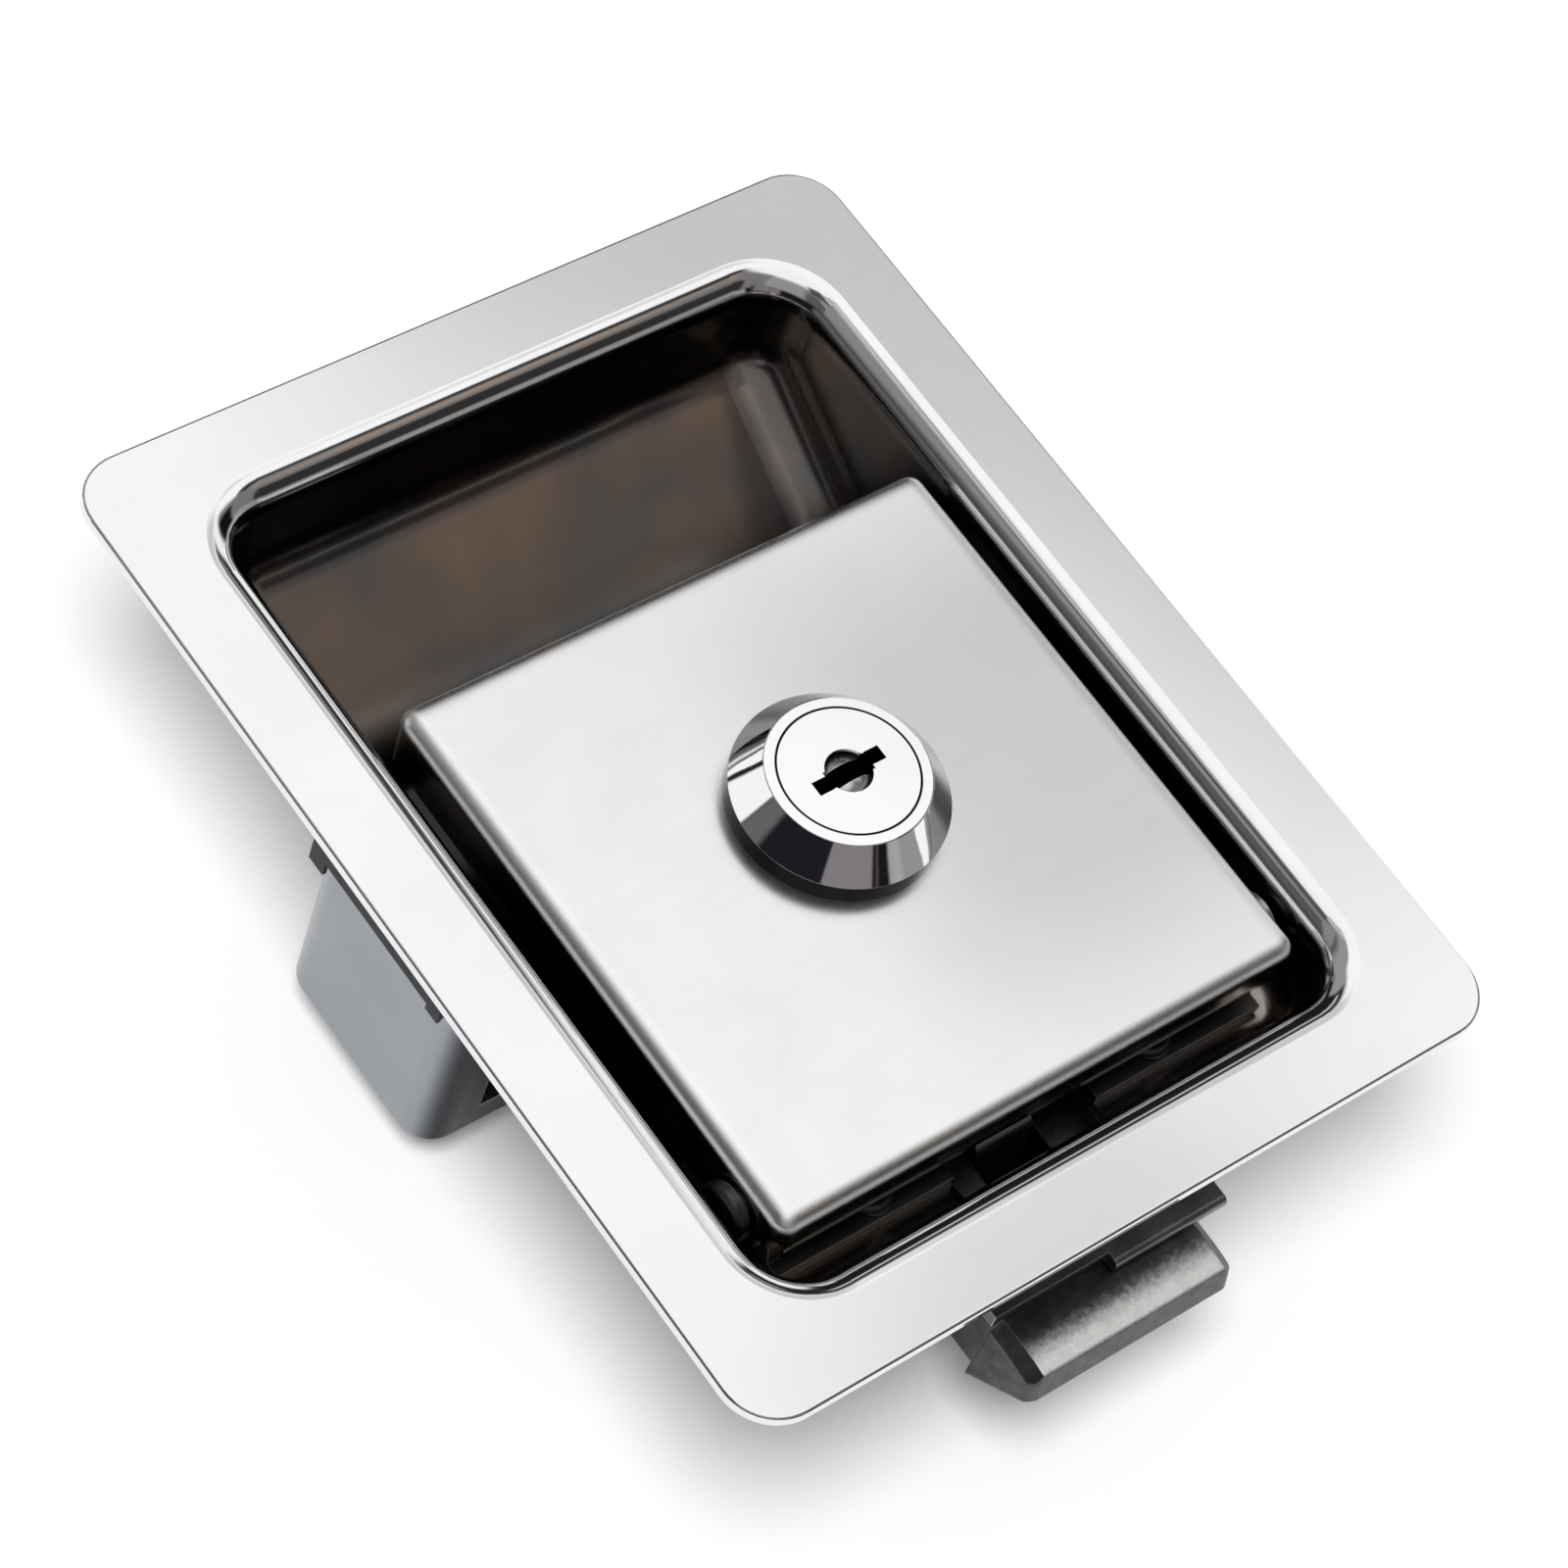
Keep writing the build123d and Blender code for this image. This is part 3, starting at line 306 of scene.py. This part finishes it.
finishes = {
    # sheet that mirrors the studio, with a painted reflection, brown and grey, in its hollow, and
    # painted shade going near black at its bottom
    "dish": surface("polished_stainless", (0.88, 0.88, 0.875, 1), 0.08, tint=(0.82, 0.82, 0.82, 1),
                    rough_spread=0.04, streaks=0.05, dents=0.06, dent_scale=18.0,
                    round_edges=0.1 * MM, fade_rough=0.11, hollow=dish_inside,
                    gloom=(flange_face - 18.5 * MM, flange_face - 24.0 * MM),
                    fade=(flange_face - 0.3 * MM, flange_face - 4.5 * MM,
                          (0.42, 0.35, 0.30, 1), (0.27, 0.27, 0.275, 1))),
    # satin face with polished folds, painted shade beside the lock on its right, and painted shade
    # darkening its skirts
    "paddle": surface("satin_stainless", (0.98, 0.98, 0.975, 1), 0.30, tint=(0.93, 0.93, 0.93, 1),
                      rough_spread=0.08, streaks=0.08, dents=0.006, dent_scale=30.0,
                      round_edges=1.6 * MM, mark=paddle_painted_shade, mark_color=(0.74, 0.74, 0.745, 1),
                      fold=(paddle_face - 0.03 * MM, paddle_face - 0.3 * MM, -0.18),
                      fade=(flange_face - 1.5 * MM, flange_face - 5.0 * MM,
                            (0.30, 0.29, 0.28, 1), (0.24, 0.24, 0.24, 1))),
    # chrome, with painted shade: black in the groove under the bezel's edge
    "lock": surface("lock_chrome", (0.92, 0.92, 0.93, 1), 0.04, tint=(0.86, 0.86, 0.88, 1),
                    rough_spread=0.03, rough_scale=300.0, round_edges=0.08 * MM,
                    mark=lock_ring, mark_color=(0.02, 0.02, 0.02, 1), hollow=above_paddle,
                    fade=(bezel_edge + 0.05 * MM, bezel_edge - 0.1 * MM,
                          (0.022, 0.022, 0.024, 1), (0.016, 0.016, 0.018, 1))),
    # chrome, with painted shade: black inside the keyway
    "plug": surface("plug_chrome", (0.92, 0.92, 0.93, 1), 0.05, tint=(0.86, 0.86, 0.88, 1),
                    rough_spread=0.03, rough_scale=300.0, round_edges=0.08 * MM,
                    mark=lock_ring, mark_color=(0.02, 0.02, 0.02, 1),
                    fade=(lock_face - 0.12 * MM, lock_face - 0.6 * MM,
                          (0.05, 0.05, 0.05, 1), (0.04, 0.04, 0.04, 1))),
    "bright": surface("bright_steel", (0.66, 0.66, 0.66, 1), 0.24, tint=(0.52, 0.52, 0.53, 1),
                      rough_spread=0.12, streaks=0.08, edge=(0.8, 0.8, 0.8, 1)),
    "spring": surface("spring_steel", (0.42, 0.42, 0.43, 1), 0.30, tint=(0.28, 0.28, 0.30, 1),
                      tint_scale=250.0, rough_spread=0.15, rough_scale=600.0),
    "zinc": surface("clear_zinc", (0.58, 0.60, 0.63, 1), 0.33, tint=(0.46, 0.50, 0.56, 1),
                    tint_scale=180.0, rough_spread=0.16, grain=0.004, grain_scale=1800.0,
                    edge=(0.74, 0.75, 0.76, 1)),
    # zinc, with painted shade on the walls that face the bolt
    "yoke": surface("blue_zinc", (0.33, 0.345, 0.365, 1), 0.28, tint=(0.28, 0.30, 0.33, 1),
                    tint_scale=70.0, tint_share=0.7, rough_spread=0.12, grain=0.003,
                    grain_scale=1200.0, dents=0.015, dent_scale=60.0, edge=(0.46, 0.48, 0.50, 1),
                    mark=yoke_painted_shade, mark_color=(0.012, 0.012, 0.016, 1)),
    # steel painted dark as shade, for the parts under the flange and paddle that sit in shade
    "dark": surface("dark_steel", (0.08, 0.076, 0.072, 1), 0.40, tint=(0.045, 0.042, 0.04, 1),
                    tint_scale=140.0, rough_spread=0.2, grain=0.006, grain_scale=1600.0,
                    edge=(0.26, 0.25, 0.24, 1)),
    "guide": surface("guide_steel", (0.24, 0.235, 0.225, 1), 0.34, tint=(0.15, 0.145, 0.14, 1),
                     tint_scale=260.0, tint_share=0.7, rough_spread=0.18, grain=0.010,
                     grain_scale=1700.0, edge=(0.62, 0.61, 0.60, 1), round_edges=0.15 * MM),
    # grainy die casting, painted dark as shade under the flange, with a painted highlight on the
    # upper face towards the nose
    "cast": surface("cast_zinc", (0.12, 0.115, 0.11, 1), 0.36, tint=(0.06, 0.056, 0.052, 1),
                    tint_scale=620.0, tint_share=0.8, rough_spread=0.20, rough_scale=1100.0,
                    grain=0.035, grain_scale=2600.0, edge=(0.50, 0.49, 0.47, 1),
                    round_edges=0.5 * MM, mark=bolt_painted_highlight, mark_color=(0.86, 0.85, 0.83, 1)),
    "rubber": surface("black_rubber", (0.018, 0.018, 0.019, 1), 0.62, metallic=0.0,
                      tint=(0.035, 0.035, 0.036, 1), tint_scale=400.0, rough_spread=0.2,
                      grain=0.010, grain_scale=2200.0, spec=0.4, edge=(0.05, 0.05, 0.05, 1)),
    # brass painted dark as the shade inside the keyway
    "brass": surface("wafer_brass", (0.30, 0.21, 0.09, 1), 0.36, tint=(0.18, 0.12, 0.05, 1),
                     tint_scale=300.0, rough_spread=0.15, streaks=0.06),
}
WEARS = {
    "dish": "dish", "flange_gasket": "rubber", "hinge_bracket": "dark", "hinge_pin": "dark",
    "pin_clip": "spring", "paddle_spring": "spring", "guide_plate": "guide",
    "bolt_housing": "dark", "housing_rivets": "dark", "latch_bolt": "cast",
    "spring_plate": "dark", "guide_rods": "bright", "bolt_springs": "spring",
    "clamp_yoke": "yoke", "yoke_pads": "rubber", "weld_nuts": "zinc", "clamp_washers": "zinc",
    "clamp_screws": "zinc", "lock_keeper": "zinc", "paddle": "paddle", "trip_tongue": "zinc",
    "lock_barrel": "lock", "lock_washer": "zinc", "lock_nut": "zinc", "lock_plug": "plug",
    "keyway_shutter": "bright", "lock_wafers": "brass", "lock_cam": "zinc",
    "cam_washer": "zinc", "cam_screw": "zinc",
}
for node, finish in WEARS.items():
    mesh = nodes[node].data
    mesh.materials.clear()
    mesh.materials.append(finishes[finish])


# ---------------------------------------------------------------- fittings built here
def new_piece(name, mesh, body, finish):
    """Turns a bmesh into a smooth piece that rides on a body."""
    bmesh.ops.recalc_face_normals(mesh, faces=mesh.faces)
    data = bpy.data.meshes.new(name)
    mesh.to_mesh(data)
    mesh.free()
    data.materials.append(finishes[finish])
    piece = bpy.data.objects.new(name, data)
    bpy.context.scene.collection.objects.link(piece)
    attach(piece, body)
    return piece


def skin(mesh, sections):
    """Closed surface over a row of equal polygons, capped at both ends."""
    rings = [[mesh.verts.new(point) for point in section] for section in sections]
    sides = len(rings[0])
    for ring, following in zip(rings, rings[1:]):
        for k in range(sides):
            after = (k + 1) % sides
            face = mesh.faces.new((ring[k], ring[after], following[after], following[k]))
            face.smooth = sides > 3
    mesh.faces.new(rings[0])
    mesh.faces.new(rings[-1])


# the bolt's two compression springs, whose end coils lie close together
SPRING_WIRE = 0.4 * MM          # radius of the wire
SPRING_TURNS = 11.5
CLOSE_TURNS = 1.3               # at each end
CLOSE_PITCH = 2.1 * SPRING_WIRE
STEPS_IN_TURN = 26
WIRE_SIDES = 9


def coil_sections(centre, radius, start, end):
    """Sections of the wire of a spring along Y, from 'start' to 'end'."""
    open_turns = SPRING_TURNS - 2 * CLOSE_TURNS
    open_pitch = (end - start - 2 * SPRING_WIRE - 2 * CLOSE_TURNS * CLOSE_PITCH) / open_turns
    for step in range(int(SPRING_TURNS * STEPS_IN_TURN) + 1):
        turns = step / STEPS_IN_TURN
        opened = min(max(turns - CLOSE_TURNS, 0.0), open_turns)
        y = start + SPRING_WIRE + CLOSE_PITCH * (turns - opened) + open_pitch * opened
        outward = Vector((math.cos(2 * math.pi * turns), 0, math.sin(2 * math.pi * turns)))
        wire_middle = Vector((centre.x, y, centre.z)) + outward * radius
        section = []
        for k in range(WIRE_SIDES):
            around = 2 * math.pi * k / WIRE_SIDES
            section.append(wire_middle + outward * SPRING_WIRE * math.cos(around)
                           + Vector((0, SPRING_WIRE * math.sin(around), 0)))
        yield section


low, high = (Vector(corner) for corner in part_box("bolt_springs"))
spring_radius = (high.z - low.z) / 2 - SPRING_WIRE
spring_mesh = bmesh.new()
for spring_x in (low.x + spring_radius + SPRING_WIRE, high.x - spring_radius - SPRING_WIRE):
    spring_middle = Vector((spring_x, 0, (low.z + high.z) / 2))
    skin(spring_mesh, coil_sections(spring_middle, spring_radius, low.y, high.y))
coils = new_piece("bolt_spring_coils", spring_mesh, "frame", "spring")
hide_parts("bolt_springs")
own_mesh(coils)

# the thread on the lock's barrel, from its rear end to the nut
THREAD_RADIUS = 9.4 * MM
THREAD_HEIGHT = 0.32 * MM
THREAD_PITCH = 1.0 * MM
THREAD_STEPS = 60               # in a turn
FLAT_HALF_WIDTH = 8.0 * MM
THREAD_PROFILE = ((-0.45 * THREAD_PITCH, -0.1 * THREAD_HEIGHT), (0, THREAD_HEIGHT),
                  (0.45 * THREAD_PITCH, -0.1 * THREAD_HEIGHT))


def thread_stretches(bottom, top):
    """Sections of the thread's ridge, in one list for each stretch between the two flats."""
    stretch = []
    for step in range(int((top - bottom - THREAD_PITCH) / THREAD_PITCH * THREAD_STEPS)):
        angle = 2 * math.pi * step / THREAD_STEPS
        around = Vector((math.cos(angle), math.sin(angle), 0))
        crest = Vector((lock_axis.x, lock_axis.y,
                        bottom + THREAD_PITCH * (step / THREAD_STEPS + 0.5)))
        if abs(around.y) * (THREAD_RADIUS + THREAD_HEIGHT) < FLAT_HALF_WIDTH:
            stretch.append([crest + Vector((0, 0, rise)) + around * (THREAD_RADIUS + out)
                            for rise, out in THREAD_PROFILE])
        elif stretch:
            yield stretch
            stretch = []
    if stretch:
        yield stretch


thread_mesh = bmesh.new()
for sections in thread_stretches(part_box("lock_barrel")[0][2] + 0.4 * MM,
                                 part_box("lock_nut")[0][2] - 0.1 * MM):
    if len(sections) > 1:
        skin(thread_mesh, sections)
new_piece("barrel_threads", thread_mesh, "paddle_unit", "lock")


# ---------------------------------------------------------------- studio
STUDIO_PANELS = (
    # azimuth from +X, elevation, half width and half height, softness in degrees, colour
    (-45, 40, 57, 26, 5, (0.20, 0.195, 0.195, 1)),     # dim wall to the camera's right
    (-42, 52, 6, 4, 4, (0.36, 0.27, 0.20, 1)),         # with a brown patch
    (-24, 57, 8, 8, 3, (0.04, 0.04, 0.04, 1)),         # and two dark ones
    (-59, 29, 9, 13, 3, (0.03, 0.03, 0.03, 1)),
    (155, 29, 36, 27, 8, (0.11, 0.108, 0.105, 1)),     # dark wall to the camera's left
    (160, 64, 21, 8, 3, (0.09, 0.085, 0.08, 1)),       # and its upper part
    (141, 38, 12, 19, 3, (0.27, 0.265, 0.26, 1)),      # a paler screen in front of it
    (154, 51, 4, 2.5, 2, (0.34, 0.33, 0.32, 1)),       # a small lamp on the screen's edge
    (118, 68, 24, 1.2, 1.0, (0.30, 0.30, 0.30, 1)),    # a thin bar above both
    (56, 18, 15, 24, 3, (0.012, 0.012, 0.013, 1)),     # black cloth beside the soft box
    (92, 3, 26, 9, 3, (0.012, 0.012, 0.013, 1)),       # black cloth along the floor
    (54, 33, 12, 2.2, 1.5, (0.60, 0.60, 0.60, 1)),     # a pale bar across the cloth
    (91, 10, 3, 6, 1.5, (0.18, 0.18, 0.18, 1)),        # a grey post behind it
    (214, 14, 62, 12, 4, (0.012, 0.012, 0.016, 1)),    # dark room behind the camera
    (160, 15, 10, 8, 4, (0.13, 0.13, 0.135, 1)),       # with grey, white and mauve cards in it
    (132, 6.5, 16, 8, 1.5, (0.98, 0.98, 0.985, 1)),
    (250, 17, 20.5, 9, 1.5, (0.23, 0.205, 0.22, 1)),
    (-80, 11, 5, 8, 2, (0.012, 0.009, 0.011, 1)),      # its dark end
    (-47, 2, 17, 7, 3, (0.30, 0.295, 0.305, 1)),       # grey card low on the right
    (-4, 22, 12, 15, 3, (0.006, 0.006, 0.008, 1)),     # black card between it and the soft box
    (34, 62, 50, 17, 4, (1.06, 1.06, 1.06, 1)),        # the soft box opposite the camera
    (27, 20, 17, 27, 3, (0.96, 0.96, 0.96, 1)),        # and the white wall under it
    (34, 48, 12, 3.5, 3, (0.62, 0.62, 0.63, 1)),       # dimmer patches where the two meet
    (23, 58, 5, 3, 2.5, (0.78, 0.78, 0.775, 1)),
    (35, 30, 13, 11, 3, (0.02, 0.02, 0.02, 1)),        # a black screen in front of the wall
    (31, 34, 4, 3, 2, (0.26, 0.26, 0.26, 1)),          # with a grey patch
    (17, 8, 7, 2.5, 1, (0.04, 0.04, 0.04, 1)),         # a dark strip low on the wall
)
WALL_TONES = (2, 14, grey(0.45), grey(0.32))    # elevations in degrees, and tones below and above
CEILING_TONE = (60, 72, grey(1.0))
FILL_LIGHT = grey(0.38)                         # what matt surfaces get from all round
KEY_STRENGTH = 2.85
KEY_WIDTH = 27                                  # degrees
KEY_SIDE = Vector((-0.36, -0.15, 1.0))          # towards the lamp
FLOOR_REACH = 3.0
FLOOR_LIFT = 0.05                               # glow that only the camera sees


def direction(azimuth):
    """Level unit vector at an angle from +X in degrees."""
    return Vector((math.cos(math.radians(azimuth)), math.sin(math.radians(azimuth)), 0))


def degrees_spread(g, angle, low, high):
    return g.spread(angle, math.radians(low), math.radians(high), smooth=True)


def panel(g, ray, climb, azimuth, elevation, half_width, half_height, soft):
    """Share of a reflected ray that meets a soft-edged panel, its angles in degrees."""
    ahead = g.vector("DOT_PRODUCT", ray, direction(azimuth))
    aside = g.vector("DOT_PRODUCT", ray, direction(azimuth + 90))
    sideways = g.math("ABSOLUTE", g.math("ARCTAN2", aside, ahead))
    upward = g.math("ABSOLUTE", g.math("SUBTRACT", climb, math.radians(elevation)))
    share = [degrees_spread(g, angle, half + soft, max(half - soft, 0))
             for angle, half in ((sideways, half_width), (upward, half_height))]
    return g.math("MULTIPLY", share[0], share[1])


def build_world():
    """The painted studio for reflected rays, an even light for the rest, white to the camera."""
    world = bpy.data.worlds.new("studio")
    bpy.context.scene.world = world
    world.use_nodes = True
    world.cycles.sampling_method = "NONE"   # every reflected ray reads the studio as painted
    g = Graph(world.node_tree)
    ray = g.add("ShaderNodeTexCoord").outputs["Generated"]
    climb = g.math("ARCSINE", g.part(ray, "Z"))
    low, high, below, above = WALL_TONES
    studio = g.mix(degrees_spread(g, climb, low, high), below, above)
    low, high, ceiling = CEILING_TONE
    studio = g.mix(degrees_spread(g, climb, low, high), studio, ceiling)
    for *angles, colour in STUDIO_PANELS:
        studio = g.mix(panel(g, ray, climb, *angles), studio, colour)
    path = g.add("ShaderNodeLightPath").outputs
    plain = g.mix(path["Is Camera Ray"], FILL_LIGHT, grey(1.0))
    sky = g.mix(path["Is Glossy Ray"], plain, studio)
    g.finish(g.add("ShaderNodeBackground", {"Color": sky, "Strength": 1.0}), "World")


def build_key_lamp():
    """A wide sun that gives the soft shadow and stays out of the reflections."""
    data = bpy.data.lights.new("key", "SUN")
    data.energy = KEY_STRENGTH
    data.angle = math.radians(KEY_WIDTH)
    lamp = bpy.data.objects.new("key", data)
    lamp.rotation_euler = KEY_SIDE.to_track_quat("Z", "Y").to_euler()
    lamp.visible_glossy = False
    bpy.context.scene.collection.objects.link(lamp)


def floor_finish():
    """Plain and pale from above, and clear from below, to let the latch's underside be seen."""
    material = bpy.data.materials.new("pale_floor")
    material.use_nodes = True
    g = Graph(material.node_tree)
    tone = g.mix(g.noise(g.place(), 6.0), grey(0.80), grey(0.83))
    matt = g.add("ShaderNodeBsdfDiffuse", {"Color": tone}).outputs[0]
    seen = g.add("ShaderNodeLightPath").outputs["Is Camera Ray"]
    lift = g.add("ShaderNodeEmission", {
        "Color": grey(1.0), "Strength": g.math("MULTIPLY", seen, FLOOR_LIFT)}).outputs[0]
    pale = g.add("ShaderNodeAddShader", {0: matt, 1: lift}).outputs[0]
    underside = g.add("ShaderNodeNewGeometry").outputs["Backfacing"]
    clear = g.add("ShaderNodeBsdfTransparent").outputs[0]
    g.finish(g.add("ShaderNodeMixShader", {0: underside, 1: pale, 2: clear}))
    return material


build_world()
build_key_lamp()
floor_height = cad_box[0][2]
floor_mesh = bpy.data.meshes.new("floor")
corners = [(x * FLOOR_REACH, y * FLOOR_REACH, floor_height)
           for x, y in ((-1, -1), (1, -1), (1, 1), (-1, 1))]
floor_mesh.from_pydata(corners, [], [(0, 1, 2, 3)])
floor_mesh.materials.append(floor_finish())
floor = bpy.data.objects.new("floor", floor_mesh)
bpy.context.scene.collection.objects.link(floor)

# ---------------------------------------------------------------- camera
# the place, turn and lens of the camera that fits the flange's outline in the photo
CAMERA_PLACE = Vector((-234.602, -161.139, 392.670)) * MM
CAMERA_TURN = Euler([math.radians(angle) for angle in (33.331, -13.414, -36.363)])
camera_data = bpy.data.cameras.new("camera")
camera_data.lens = 111.26
camera_data.sensor_width = 36.0
camera_data.clip_start = 0.01
camera = bpy.data.objects.new("camera", camera_data)
bpy.context.scene.collection.objects.link(camera)
camera.matrix_world = Matrix.LocRotScale(CAMERA_PLACE, CAMERA_TURN, None)
bpy.context.scene.camera = camera

bpy.context.scene.view_settings.view_transform = "Standard"
